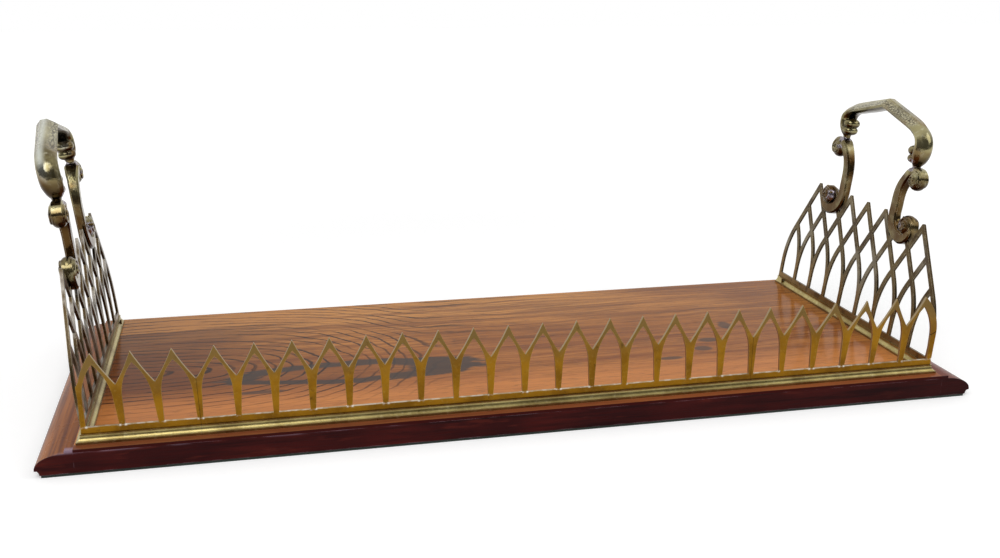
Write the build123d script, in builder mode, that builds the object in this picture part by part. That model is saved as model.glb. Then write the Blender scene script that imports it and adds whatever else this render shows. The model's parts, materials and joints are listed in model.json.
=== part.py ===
from build123d import *
import math
import os

# Book tray: a rosewood board with moulded ends, a brass gallery of pointed arches along the
# front, a leaning brass lattice on each end and a scroll handle on each lattice. Millimetres,
# +X along the length, +Y to the open back, +Z up. The origin is on the table under the middle.

# Board
board_depth = 204.7
fillet_reach = 245.1
baize_thickness = 1.6
core_thickness = 10.8
veneer_thickness = 1.4
lipping_thickness = 4.0
baize_inset = 0.6
glue_gap = 0.1

# End moulding, outward from the fillet line at the edge of the flat top
moulding_flat = 4.0
moulding_projection = 14.8
moulding_fillet_drop = 1.6
moulding_nose_height = 3.0
moulding_nose_drop = 0.6
moulding_quirk = 1.2
moulding_cove = 1.2
tongue_thickness = 3.6
tongue_depth = 3.0
tongue_stop = 12.0

# Brass foot of the galleries
bead_height = 4.8
bead_half_width = 3.4
bead_base_height = 1.3
bead_step = 0.4
bead_top_half_width = 1.5
bead_bulge = 0.75
groove_depth = 1.2
groove_clearance = 0.05

# Galleries, each a ledge in from the edge of the flat top
end_ledge = 7.6
front_ledge = 7.9
back_ledge = 4.3
sheet_thickness = 1.5
rail_height = 3.3

# Front arches, of which the outer ones lean out with the ends
arch_counts = {"left": 3, "middle": 16, "right": 6}
leaning_arch_counts = {"left": 3, "right": 4}
front_lean = 4.5
post_width = 2.8
front_height = 41.9
valley_height = 24.8
opening_spring = 18.3
opening_taper = 0.8
opening_apex = 36.2
arch_outer_bulge = 0.45
left_corner_taper = 1.4

# End lattice, which leans out less on the left
leans = {"left": 5.5, "right": 7.0}
lattice_bays = 9
bays_in_peak = 3
rib_width = 2.9
rib_straight = 10.9
rib_radius = 52.0
rib_slope = 32.5
tip_flat = 1.2

# Handle, measured from where the edges of the peak that carries each scroll meet: u outward, v up
handle_peak_bays = 2
upright_inner = -14.6
upright_width = 7.0
upright_depth = 6.0
upright_chamfer = 1.3
hook_centre = (1.4, -1.9)
bow_start = 10.1
lower_boss = (4.9, -5.9)
lower_boss_radius = 6.5
upper_boss = (4.2, 25.8)
upper_boss_radius = 6.8
boss_depth = 9.4
boss_rounding = 2.8
neck_level = 32.7
neck_middle = -0.5
neck_half_width = 2.4
slot_clearance = 0.05

# Grip, measured from the neck level
grip_rise = 33.4
grip_underside_rise = 26.6
grip_depth = 11.5
grip_chamfer = 1.5
grip_neck_depth = 4.6
neck_straight = 1.2
shoulder_start = (8.0, 24.0)
shoulder_reach = 6.2
shoulder_level = 12.0
underside_bend = (10.2, 21.0)
underside_shoulder = (1.6, 14.4)
bud_reach = 6.2
bud_level = 7.4
bud_top = (4.0, 11.8)
swell_level = 10.5

# Fastenings
screw_radius = 1.25
screw_head_radius = 2.6
screw_head_angle = 45.0
screw_in_bead = 3.0
screw_clearance = 0.2
thread_clearance = 0.05
screw_slot_width = 0.7
screw_slot_depth = 0.5
end_screw_inset = 17.5
front_screw_inset = 14.0
front_screw_counts = {"left": 2, "middle": 4, "right": 2}
bead_pin_radius = 0.6
bead_pin_offset = 2.2
bead_pin_inset = 9.0
bead_pin_depth = 6.0
bead_pin_rise = 4.4
pin_clearance = 0.05
neck_pin_radius = 0.9
neck_pin_half_length = 4.0
rivet_radius = 0.7
rivet_drop = 3.5
rivet_half_length = 4.0

# Sizes that follow from the driving ones
sides = {"left": -1, "right": 1}
ends = {"front": -1, "back": 1}
core_top = baize_thickness + core_thickness
board_top = core_top + veneer_thickness
bead_top = board_top + bead_height
groove_floor = bead_top - groove_depth
tongue_level = baize_thickness + (core_thickness - tongue_thickness) / 2
core_length = 2 * (fillet_reach - moulding_flat)
core_depth = board_depth - 2 * lipping_thickness
gallery_length = 2 * (fillet_reach - end_ledge)
gallery_front = front_ledge - board_depth / 2
gallery_back = board_depth / 2 - back_ledge
front_sheet_y = gallery_front + sheet_thickness / 2
end_sheet_x = (gallery_length - sheet_thickness) / 2
end_sheet_front = gallery_front + sheet_thickness
end_length = gallery_back - end_sheet_front
end_middle = (gallery_back + end_sheet_front) / 2
arch_count = sum(arch_counts.values())
pitch = (gallery_length - post_width) / arch_count
bay = (end_length - rib_width) / lattice_bays
lean_angles = {side: math.radians(leans[side_name]) for side_name, side in sides.items()}
rib_angle = math.radians(rib_slope)
below_foot = 2 * groove_depth
rib_bend_width = rib_radius - (rib_radius + rib_width / 2) * math.cos(rib_angle)
rib_bend_height = rib_straight + (rib_radius + rib_width / 2) * math.sin(rib_angle)
lattice_height = rib_bend_height + (bays_in_peak * bay / 2 - rib_bend_width) / math.tan(rib_angle)
peak_offset = handle_peak_bays * bay
neck_offset = peak_offset + neck_middle


def post_x(number):
    """The middle of a front post at its foot, counted from the left corner."""
    return -gallery_length / 2 + post_width / 2 + number * pitch


def post_slope(number):
    """How far a front post leans for each unit up: outward near a corner, and upright further in.

    The post where the lean stops has half of it.
    """
    right_start = arch_count - leaning_arch_counts["right"]
    left_share = min(max(leaning_arch_counts["left"] - number + 0.5, 0), 1)
    right_share = min(max(number - right_start + 0.5, 0), 1)
    return math.tan(math.radians(front_lean)) * (right_share - left_share)


def on_post(number, offset, height):
    """A point beside the middle line of a front post, at a height above the foot."""
    return Vector(post_x(number) + offset + post_slope(number) * height, height)


def on_arch(number, height):
    """A point on the middle line of a front arch."""
    return (on_post(number, 0, height) + on_post(number + 1, 0, height)) / 2


def first_arch(section):
    """How many arches stand to the left of a section of the front gallery."""
    names = list(arch_counts)
    return sum(arch_counts[name] for name in names[: names.index(section)])


def section_span(section):
    """The left and right ends of a front section: a post's middle, or the corner itself."""
    first = first_arch(section)
    last = first + arch_counts[section]
    left = -gallery_length / 2 if first == 0 else post_x(first)
    right = gallery_length / 2 if last == arch_count else post_x(last)
    return left, right


def outward_plane(side):
    """An upright plane across the tray, with x pointing out to one side and y up."""
    return Plane(origin=(0, 0, 0), x_dir=(side, 0, 0), z_dir=(0, -side, 0))


def mitre_plane(side):
    """The upright plane through a front corner that halves the angle between two beads."""
    return Plane(origin=(side * end_sheet_x, front_sheet_y, 0), z_dir=(side, 1, 0))


def up_direction(side):
    """The direction that leads up the leaning end sheet."""
    return Vector(side * math.sin(lean_angles[side]), 0, math.cos(lean_angles[side]))


def end_point(side, along, up):
    """A point on the middle of an end sheet: along it from its centre, and up from the foot."""
    foot = Vector(side * end_sheet_x, end_middle + along, bead_top)
    return foot + up_direction(side) * up


def end_plane(side, end=1, along=0.0, up=0.0):
    """The plane of an end sheet, with x along it towards one end and y up the sheet."""
    x_dir = Vector(0, end, 0)
    return Plane(origin=end_point(side, along, up), x_dir=x_dir, z_dir=x_dir.cross(up_direction(side)))


def neck_plane(side, end):
    """A plane across the neck of a handle, square to the leaning sheet."""
    origin = end_point(side, end * neck_offset, lattice_height + neck_level)
    return Plane(origin=origin, x_dir=(0, 1, 0), z_dir=up_direction(side))


def screw_places():
    """Where the screws come up through the board: three in each end bead, some in each front one."""
    spacing = end_length / 2 - end_screw_inset
    places = [
        (side * end_sheet_x, end_middle + step * spacing)
        for side in sides.values()
        for step in (-1, 0, 1)
    ]
    for section, count in front_screw_counts.items():
        left, right = section_span(section)
        start = left + front_screw_inset
        step = (right - left - 2 * front_screw_inset) / (count - 1)
        places += [(start + number * step, front_sheet_y) for number in range(count)]
    return places


def bead_pin_places():
    """A pin near the back of each end bead, on its inner half."""
    pin_x = end_sheet_x - bead_pin_offset
    return [(side * pin_x, gallery_back - bead_pin_inset) for side in sides.values()]


def rivet_places():
    """The rivets of the scrolls in the plane of an end sheet, just below the peaks that carry them."""
    return [(end * peak_offset, lattice_height - rivet_drop) for end in ends.values()]


# Core board, with a stopped tongue at each end and countersunk holes from beneath
with BuildPart() as core_board:
    with BuildSketch(Plane.XY.offset(baize_thickness)):
        Rectangle(core_length, core_depth)
    extrude(amount=core_thickness)
    with BuildSketch(Plane.XY.offset(tongue_level)):
        Rectangle(core_length + 2 * tongue_depth, core_depth - 2 * tongue_stop)
    extrude(amount=tongue_thickness)
    with Locations(*(Plane(origin=(x, y, baize_thickness), z_dir=(0, 0, -1)) for x, y in screw_places())):
        CounterSinkHole(
            radius=screw_radius + screw_clearance,
            counter_sink_radius=screw_head_radius + screw_clearance,
            depth=core_thickness,
            counter_sink_angle=2 * screw_head_angle,
        )
    with BuildSketch(Plane.XY.offset(core_top)):
        with Locations(*bead_pin_places()):
            Circle(bead_pin_radius + pin_clearance)
    extrude(amount=-(bead_pin_depth - veneer_thickness), mode=Mode.SUBTRACT)
core_board.part.label = "core_board"

# Rosewood veneer over the core and the lippings
with BuildPart() as top_veneer:
    with BuildSketch(Plane.XY.offset(core_top)):
        Rectangle(core_length, board_depth)
        with Locations(*screw_places()):
            Circle(screw_radius + screw_clearance, mode=Mode.SUBTRACT)
        with Locations(*bead_pin_places()):
            Circle(bead_pin_radius + pin_clearance, mode=Mode.SUBTRACT)
    extrude(amount=veneer_thickness)
top_veneer.part.label = "top_veneer"

# Green baize under the whole board
with BuildPart() as baize_lining:
    with BuildSketch(Plane.XY):
        underside_reach = fillet_reach + moulding_projection - moulding_quirk - moulding_cove
        Rectangle(2 * (underside_reach - baize_inset), board_depth - 2 * baize_inset)
    extrude(amount=baize_thickness)
baize_lining.part.label = "baize_lining"

os.makedirs("parts", exist_ok=True)
export_step(core_board.part, "parts/core_board.step")
export_step(top_veneer.part, "parts/top_veneer.step")
export_step(baize_lining.part, "parts/baize_lining.step")

# Lippings along the front and back edges
for end_name, end in ends.items():
    with BuildPart() as lipping:
        with BuildSketch(Plane.XY.offset(baize_thickness)):
            with Locations((0, end * (board_depth - lipping_thickness) / 2)):
                Rectangle(core_length, lipping_thickness)
        extrude(amount=core_thickness)
    lipping.part.label = f"{end_name}_lipping"
    export_step(lipping.part, f"parts/{end_name}_lipping.step")

# End mouldings: flat, fillet, ovolo, quirk and cove, with a stopped groove for the tongue
for side_name, side in sides.items():
    with BuildPart() as end_moulding:
        with BuildSketch(outward_plane(side)):
            with BuildLine():
                nose_top = baize_thickness + moulding_nose_height
                ovolo_height = board_top - moulding_fillet_drop - nose_top
                nose_bottom = nose_top - moulding_nose_drop
                outermost = fillet_reach + moulding_projection
                ovolo = EllipticalCenterArc(
                    (fillet_reach, nose_top), moulding_projection, ovolo_height, start_angle=0, arc_size=90
                )
                drop = Line(ovolo @ 1, (fillet_reach, board_top))
                flat = Line(drop @ 1, (fillet_reach - moulding_flat, board_top))
                joint = Line(flat @ 1, (fillet_reach - moulding_flat, baize_thickness))
                underside = Line(joint @ 1, (outermost - moulding_quirk - moulding_cove, baize_thickness))
                cove_top = (outermost - moulding_quirk, nose_bottom)
                cove = RadiusArc(underside @ 1, cove_top, moulding_nose_height)
                quirk = Line(cove @ 1, (outermost, nose_bottom))
                Line(quirk @ 1, ovolo @ 0)
            make_face()
        extrude(amount=board_depth / 2, both=True)
        with BuildSketch(Plane.XY.offset(tongue_level - glue_gap)):
            Rectangle(core_length + 2 * (tongue_depth + glue_gap), core_depth - 2 * (tongue_stop - glue_gap))
        extrude(amount=tongue_thickness + 2 * glue_gap, mode=Mode.SUBTRACT)
    end_moulding.part.label = f"{side_name}_end_moulding"
    export_step(end_moulding.part, f"parts/{side_name}_end_moulding.step")


def bead_outline(middle, slope):
    """Draws a bead's section with its groove, standing on the board, into the current sketch.

    The groove follows a sheet that leans by the slope, outward for each unit up.
    """
    step_level = board_top + bead_base_height
    side_x = bead_half_width - bead_step
    with BuildLine() as outline:
        left_foot = Line((middle - bead_half_width, board_top), (middle - bead_half_width, step_level))
        left_step = Line(left_foot @ 1, (middle - side_x, step_level))
        left_round = SagittaArc(left_step @ 1, (middle - bead_top_half_width, bead_top), -bead_bulge)
        top = Line(left_round @ 1, (middle + bead_top_half_width, bead_top))
        right_round = SagittaArc(top @ 1, (middle + side_x, step_level), -bead_bulge)
        right_step = Line(right_round @ 1, (middle + bead_half_width, step_level))
        right_foot = Line(right_step @ 1, (middle + bead_half_width, board_top))
        Line(right_foot @ 1, left_foot @ 0)
    make_face(outline.edges())
    half = (sheet_thickness / 2) / math.cos(math.atan(slope)) + groove_clearance
    inset = middle - slope * groove_depth
    with BuildLine() as outline:
        Polyline(
            (middle - half, bead_top),
            (inset - half, groove_floor),
            (inset + half, groove_floor),
            (middle + half, bead_top),
            close=True,
        )
    make_face(outline.edges(), mode=Mode.SUBTRACT)


def corner_pocket(side):
    """Cuts room in a mitred bead for the corner where the two sheets meet."""
    slant = math.tan(lean_angles[side]) * groove_depth
    inner = end_sheet_x - sheet_thickness / 2 - slant - groove_clearance
    outer = gallery_length / 2 + groove_clearance
    depth = sheet_thickness + 2 * (slant + groove_clearance)
    with BuildSketch(Plane.XY.offset(groove_floor)) as pocket:
        with Locations((side * (inner + outer) / 2, front_sheet_y)):
            Rectangle(outer - inner, depth)
    extrude(pocket.sketch, amount=bead_height, mode=Mode.SUBTRACT)


# Front bead in three lengths, mitred at the corners
for section in arch_counts:
    left, right = section_span(section)
    reach_left = left - (bead_half_width if first_arch(section) == 0 else 0)
    reach_right = right + (bead_half_width if right == gallery_length / 2 else 0)
    with BuildPart() as front_bead:
        with BuildSketch(Plane(origin=(reach_left, 0, 0), x_dir=(0, 1, 0), z_dir=(1, 0, 0))):
            bead_outline(front_sheet_y, 0.0)
        extrude(amount=reach_right - reach_left)
        if reach_left < left:
            split(bisect_by=mitre_plane(-1), keep=Keep.BOTTOM)
            corner_pocket(-1)
        if reach_right > right:
            split(bisect_by=mitre_plane(1), keep=Keep.BOTTOM)
            corner_pocket(1)
        with BuildSketch(Plane.XY.offset(board_top)):
            with Locations(*[place for place in screw_places() if place[1] == front_sheet_y]):
                Circle(screw_radius + thread_clearance)
        extrude(amount=screw_in_bead + thread_clearance, mode=Mode.SUBTRACT)
    front_bead.part.label = f"front_bead_{section}"
    export_step(front_bead.part, f"parts/front_bead_{section}.step")

# End beads, mitred at the front and cut square at the open back
for side_name, side in sides.items():
    with BuildPart() as end_bead:
        with BuildSketch(outward_plane(side)):
            bead_outline(end_sheet_x, math.tan(lean_angles[side]))
        extrude(amount=board_depth / 2, both=True)
        split(bisect_by=mitre_plane(side), keep=Keep.TOP)
        corner_pocket(side)
        split(bisect_by=Plane.XZ.offset(-gallery_back), keep=Keep.TOP)
        with BuildSketch(Plane.XY.offset(board_top)):
            with Locations(*[place for place in screw_places() if place[1] != front_sheet_y]):
                Circle(screw_radius + thread_clearance)
        extrude(amount=screw_in_bead + thread_clearance, mode=Mode.SUBTRACT)
        with BuildSketch(Plane.XY.offset(board_top)):
            with Locations(*bead_pin_places()):
                Circle(bead_pin_radius + pin_clearance)
        extrude(amount=bead_height, mode=Mode.SUBTRACT)
    end_bead.part.label = f"{side_name}_end_bead"
    export_step(end_bead.part, f"parts/{side_name}_end_bead.step")


def front_arch(number):
    """Adds the solid outline of one front arch, from post middle to post middle."""
    left = on_post(number, 0, 0)
    right = on_post(number + 1, 0, 0)
    below = Vector(0, -groove_depth)
    with BuildLine() as outline:
        foot = Polyline(left, left + below, right + below, right)
        right_post = Line(foot @ 1, on_post(number + 1, 0, valley_height))
        right_side = SagittaArc(right_post @ 1, on_arch(number, front_height), arch_outer_bulge)
        left_side = SagittaArc(right_side @ 1, on_post(number, 0, valley_height), arch_outer_bulge)
        Line(left_side @ 1, foot @ 0)
    make_face(outline.edges())


def corner_post(number, arch, foot_offset, spring_offset):
    """Adds the outer half of a corner arch, whose post runs up into one smooth curve.

    The offsets are those of the post's outer edge from its middle line, at the foot and at the spring.
    """
    outer = on_post(number, foot_offset, 0)
    middle = on_arch(arch, 0)
    below = Vector(0, -groove_depth)
    with BuildLine() as outline:
        foot = Polyline(middle, middle + below, outer + below, outer)
        edge = Line(foot @ 1, on_post(number, spring_offset, opening_spring))
        curve = TangentArc(edge @ 1, on_arch(arch, front_height), tangent=edge % 1)
        Line(curve @ 1, foot @ 0)
    make_face(outline.edges())


def front_opening(number):
    """Cuts the lancet opening of one front arch."""
    foot_offset = post_width / 2
    spring_offset = foot_offset + opening_taper
    apex = on_arch(number, opening_apex)
    with BuildLine() as outline:
        sill = Line(
            on_post(number, foot_offset, rail_height), on_post(number + 1, -foot_offset, rail_height)
        )
        left_jamb = Line(sill @ 0, on_post(number, spring_offset, opening_spring))
        right_jamb = Line(sill @ 1, on_post(number + 1, -spring_offset, opening_spring))
        TangentArc(left_jamb @ 1, apex, tangent=left_jamb % 1)
        TangentArc(right_jamb @ 1, apex, tangent=right_jamb % 1)
    make_face(outline.edges(), mode=Mode.SUBTRACT)


# Front gallery in three lengths of pierced sheet
for section, count in arch_counts.items():
    start = first_arch(section)
    with BuildPart() as front_gallery:
        with BuildSketch(Plane(origin=(0, front_sheet_y, bead_top), x_dir=(1, 0, 0), z_dir=(0, -1, 0))):
            for number in range(start, start + count):
                front_arch(number)
            if start == 0:
                corner_post(0, 0, -post_width / 2, left_corner_taper - post_width / 2)
            if start + count == arch_count:
                corner_post(arch_count, arch_count - 1, post_width / 2, post_width / 2)
            for number in range(start, start + count):
                front_opening(number)
        extrude(amount=sheet_thickness / 2, both=True)
    front_gallery.part.label = f"front_gallery_{section}"
    export_step(front_gallery.part, f"parts/front_gallery_{section}.step")


def rib_edge(foot, turn, offset):
    """Draws one long edge of a rib, up from below its foot and over the bend, and returns its ends.

    Turn is the way the rib bends. The edge lies at the offset from its middle line, to that side.
    """
    radius = rib_radius - offset
    centre = Vector(foot + turn * rib_radius, rib_straight)
    post = Line((foot + turn * offset, -below_foot), (foot + turn * offset, rib_straight))
    bend_end = centre + Vector(-turn * radius * math.cos(rib_angle), radius * math.sin(rib_angle))
    bend = TangentArc(post @ 1, bend_end, tangent=(0, 1))
    return post @ 0, bend @ 1


def rib(number, turn):
    """Adds one rib of the lattice, run on past the top, where the peaks trim it."""
    foot = -end_length / 2 + rib_width / 2 + number * bay
    run = Vector(turn * math.sin(rib_angle), math.cos(rib_angle)) * lattice_height
    with BuildLine() as outline:
        near_foot, near_bend = rib_edge(foot, turn, rib_width / 2)
        far_foot, far_bend = rib_edge(foot, turn, -rib_width / 2)
        near_run = Line(near_bend, near_bend + run)
        far_run = Line(far_bend, far_bend + run)
        Line(near_run @ 1, far_run @ 1)
        Line(near_foot, far_foot)
    make_face(outline.edges())


def peak_outline(number):
    """Adds the big arch between the outer edges of the two ribs that make one peak, its point cut flat."""
    left_foot = -end_length / 2 + rib_width / 2 + number * bay
    right_foot = left_foot + bays_in_peak * bay
    middle = (left_foot + right_foot) / 2
    flat_level = lattice_height - tip_flat / 2 / math.tan(rib_angle)
    with BuildLine() as outline:
        left_base, left_bend = rib_edge(left_foot, 1, -rib_width / 2)
        right_base, right_bend = rib_edge(right_foot, -1, -rib_width / 2)
        flat = Line((middle - tip_flat / 2, flat_level), (middle + tip_flat / 2, flat_level))
        Line(left_bend, flat @ 0)
        Line(right_bend, flat @ 1)
        Line(left_base, right_base)
    make_face(outline.edges())


# End galleries: interlaced ribs trimmed to seven peaks, with a rail along the foot
for side_name, side in sides.items():
    with BuildPart() as end_gallery:
        with BuildSketch(end_plane(side)) as lattice:
            for number in range(lattice_bays):
                rib(number, 1)
                rib(number + 1, -1)
            with BuildSketch(mode=Mode.INTERSECT):
                for number in range(lattice_bays - bays_in_peak + 1):
                    peak_outline(number)
            with Locations((0, (rail_height - below_foot) / 2)):
                Rectangle(end_length, rail_height + below_foot)
            with Locations(*rivet_places()):
                Circle(rivet_radius + pin_clearance, mode=Mode.SUBTRACT)
        extrude(amount=sheet_thickness / 2, both=True)
        split(bisect_by=Plane.XY.offset(groove_floor), keep=Keep.TOP)
    end_gallery.part.label = f"{side_name}_end_gallery"
    export_step(end_gallery.part, f"parts/{side_name}_end_gallery.step")


def boss(scroll_plane, centre, radius):
    """Adds a rounded boss, turned about an axis square to the scroll."""
    origin = scroll_plane.from_local_coords(Vector(*centre))
    turning_plane = Plane(origin=origin, x_dir=scroll_plane.x_dir, z_dir=-scroll_plane.y_dir)
    with BuildSketch(turning_plane) as half_section:
        with BuildLine() as outline:
            top = Line((0, boss_depth / 2), (radius - boss_rounding, boss_depth / 2))
            rounding = TangentArc(top @ 1, (radius, boss_depth / 2 - boss_rounding), tangent=(1, 0))
            rim = Line(rounding @ 1, (radius, -boss_depth / 2 + boss_rounding))
            lower = TangentArc(rim @ 1, (radius - boss_rounding, -boss_depth / 2), tangent=(0, -1))
            bottom = Line(lower @ 1, (0, -boss_depth / 2))
            Line(bottom @ 1, top @ 0)
        make_face(outline.edges())
    revolve(half_section.sketch, axis=Axis(turning_plane.origin, turning_plane.y_dir))


def scroll_outline():
    """Draws the band of a scroll: a hook at the foot, a straight upright and a bow to the neck."""
    hook = Vector(*hook_centre)
    hook_outer = hook.X - upright_inner
    hook_inner = hook_outer - upright_width
    lower = Vector(*lower_boss)
    upper = Vector(*upper_boss)
    bottom = hook - Vector(0, hook_outer)
    reach = lower - bottom
    turn_radius = (reach.X**2 + reach.Y**2 - lower_boss_radius**2) / (2 * (reach.Y - lower_boss_radius))
    turn_centre = bottom + Vector(0, turn_radius)
    neck_left = neck_middle - neck_half_width
    bow_width = neck_left - upright_inner
    bow_height = neck_level - bow_start
    bow_radius = (bow_width**2 + bow_height**2) / (2 * bow_width)
    bow_centre = Vector(upright_inner + bow_radius, bow_start)
    bow_end = bow_centre + (upper - bow_centre).normalized() * (bow_radius - upright_width)
    with BuildLine() as outline:
        inner_edge = Line((upright_inner, hook.Y), (upright_inner, bow_start))
        bow = TangentArc(inner_edge @ 1, (neck_left, neck_level), tangent=(0, 1))
        neck = Line(bow @ 1, (neck_middle + neck_half_width, neck_level))
        into_upper = Line(neck @ 1, bow_end)
        outer_edge = Line((upright_inner + upright_width, bow_start), (upright_inner + upright_width, hook.Y))
        TangentArc(outer_edge @ 0, into_upper @ 1, tangent=(0, 1))
        hook_end = hook + (lower - hook).normalized() * hook_inner
        inner_hook = TangentArc(outer_edge @ 1, hook_end, tangent=(0, -1))
        turn_end = turn_centre + (lower - turn_centre).normalized() * turn_radius
        into_lower = Line(inner_hook @ 1, turn_end)
        outer_hook = TangentArc(inner_edge @ 0, bottom, tangent=(0, -1))
        TangentArc(outer_hook @ 1, into_lower @ 1, tangent=(1, 0))
    make_face(outline.edges())


# Scrolls: a bevelled band with a boss at each end, slotted over the peak that carries it
for side_name, side in sides.items():
    for end_name, end in ends.items():
        scroll_plane = end_plane(side, end, end * peak_offset, lattice_height)
        normal = Axis(scroll_plane.origin, scroll_plane.z_dir)
        with BuildPart() as scroll:
            with BuildSketch(scroll_plane):
                scroll_outline()
            extrude(amount=upright_depth / 2, both=True)
            chamfer(scroll.faces().filter_by(normal).edges(), upright_chamfer)
            boss(scroll_plane, lower_boss, lower_boss_radius)
            boss(scroll_plane, upper_boss, upper_boss_radius)
            with BuildSketch(scroll_plane):
                with BuildLine():
                    slot_tip = Vector(0, slot_clearance / math.sin(rib_angle))
                    slot_depth = 2 * (hook_centre[0] - upright_inner)
                    slot_half = slot_depth * math.tan(rib_angle)
                    Polyline(
                        slot_tip,
                        slot_tip + Vector(slot_half, -slot_depth),
                        slot_tip + Vector(-slot_half, -slot_depth),
                        close=True,
                    )
                make_face()
            extrude(amount=sheet_thickness / 2 + slot_clearance, both=True, mode=Mode.SUBTRACT)
            with BuildSketch(scroll_plane):
                with Locations((0, -rivet_drop)):
                    Circle(rivet_radius + pin_clearance)
            extrude(amount=boss_depth, both=True, mode=Mode.SUBTRACT)
            with BuildSketch(neck_plane(side, end)):
                Circle(neck_pin_radius + pin_clearance)
            extrude(amount=-(neck_pin_half_length + pin_clearance), mode=Mode.SUBTRACT)
        scroll.part.label = f"{side_name}_{end_name}_scroll"
        export_step(scroll.part, f"parts/{side_name}_{end_name}_scroll.step")


def grip_outline():
    """Draws the grip: a low gable with rounded shoulders, a bud inside each and narrow necks."""
    neck = neck_offset
    with BuildLine() as outline:
        slope = Line((0, grip_rise), (neck - shoulder_start[0], shoulder_start[1]))
        shoulder = TangentArc(slope @ 1, (neck + shoulder_reach, shoulder_level), tangent=slope % 1)
        swell = TangentArc(shoulder @ 1, (neck + neck_half_width, neck_straight), tangent=shoulder % 1)
        outer_neck = Line(swell @ 1, (neck + neck_half_width, 0))
        seat = Line(outer_neck @ 1, (neck - neck_half_width, 0))
        inner_neck = Line(seat @ 1, (neck - neck_half_width, neck_straight))
        bud = ThreePointArc(
            inner_neck @ 1, (neck - bud_reach, bud_level), (neck - bud_top[0], bud_top[1])
        )
        notch = Line(bud @ 1, (neck - underside_shoulder[0], underside_shoulder[1]))
        underside = Line((0, grip_underside_rise), (neck - underside_bend[0], underside_bend[1]))
        TangentArc(underside @ 1, notch @ 1, tangent=underside % 1)
        mirror(about=Plane.YZ)
    make_face(outline.edges())


def grip_depth_profile():
    """Draws the grip as seen along the tray: narrow at the necks and swelling to its full depth."""
    with BuildLine() as outline:
        top = Line((0, 2 * grip_rise), (grip_depth / 2, 2 * grip_rise))
        cheek = Line(top @ 1, (grip_depth / 2, swell_level))
        swell = TangentArc(cheek @ 1, (grip_neck_depth / 2, neck_straight), tangent=(0, -1))
        neck = Line(swell @ 1, (grip_neck_depth / 2, -neck_straight))
        Line(neck @ 1, (0, -neck_straight))
        mirror(about=Plane.YZ)
    make_face(outline.edges())


# Grips, dowelled onto the necks of their two scrolls
for side_name, side in sides.items():
    grip_plane = end_plane(side, 1, 0, lattice_height + neck_level)
    across = Plane(
        origin=grip_plane.origin, x_dir=grip_plane.z_dir, z_dir=grip_plane.z_dir.cross(grip_plane.y_dir)
    )
    with BuildPart() as grip:
        with BuildSketch(grip_plane):
            grip_outline()
        extrude(amount=grip_depth / 2, both=True)
        cheek_edges = grip.faces().filter_by(Axis(grip_plane.origin, grip_plane.z_dir)).edges()
        bevelled = [
            edge
            for edge in cheek_edges
            if grip_plane.to_local_coords(edge.center()).Y > underside_shoulder[1]
        ]
        chamfer(bevelled, grip_chamfer)
        with BuildSketch(across):
            grip_depth_profile()
        extrude(amount=end_length, both=True, mode=Mode.INTERSECT)
        for end in ends.values():
            with BuildSketch(neck_plane(side, end)):
                Circle(neck_pin_radius + pin_clearance)
            extrude(amount=neck_pin_half_length + pin_clearance, mode=Mode.SUBTRACT)
    grip.part.label = f"{side_name}_grip"
    export_step(grip.part, f"parts/{side_name}_grip.step")

# Dowels at the necks and rivets through the forked feet
for side_name, side in sides.items():
    with BuildPart() as neck_pins:
        for end in ends.values():
            with BuildSketch(neck_plane(side, end)):
                Circle(neck_pin_radius)
            extrude(amount=neck_pin_half_length, both=True)
    neck_pins.part.label = f"{side_name}_neck_pins"
    export_step(neck_pins.part, f"parts/{side_name}_neck_pins.step")

    with BuildPart() as scroll_rivets:
        with BuildSketch(end_plane(side)):
            with Locations(*rivet_places()):
                Circle(rivet_radius)
        extrude(amount=rivet_half_length, both=True)
    scroll_rivets.part.label = f"{side_name}_scroll_rivets"
    export_step(scroll_rivets.part, f"parts/{side_name}_scroll_rivets.step")

# Slotted screws up through the board into the beads
with BuildPart() as gallery_screws:
    head_height = (screw_head_radius - screw_radius) / math.tan(math.radians(screw_head_angle))
    with BuildSketch(Plane.XY.offset(baize_thickness)):
        with Locations(*screw_places()):
            Circle(screw_head_radius)
    extrude(amount=head_height, taper=screw_head_angle)
    with BuildSketch(Plane.XY.offset(baize_thickness)):
        with Locations(*screw_places()):
            Circle(screw_radius)
    extrude(amount=core_thickness + veneer_thickness + screw_in_bead)
    with BuildSketch(Plane.XY.offset(baize_thickness)):
        with Locations(*screw_places()):
            Rectangle(2 * screw_head_radius, screw_slot_width)
    extrude(amount=screw_slot_depth, mode=Mode.SUBTRACT)
gallery_screws.part.label = "gallery_screws"
export_step(gallery_screws.part, "parts/gallery_screws.step")

# Brass pins near the back ends of the end beads
with BuildPart() as bead_pins:
    with BuildSketch(Plane.XY.offset(board_top - bead_pin_depth)):
        with Locations(*bead_pin_places()):
            Circle(bead_pin_radius)
    extrude(amount=bead_pin_depth + bead_pin_rise)
bead_pins.part.label = "bead_pins"
export_step(bead_pins.part, "parts/bead_pins.step")
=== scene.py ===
import json
import math

import bmesh
import bpy
from mathutils import Matrix, Vector


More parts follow.
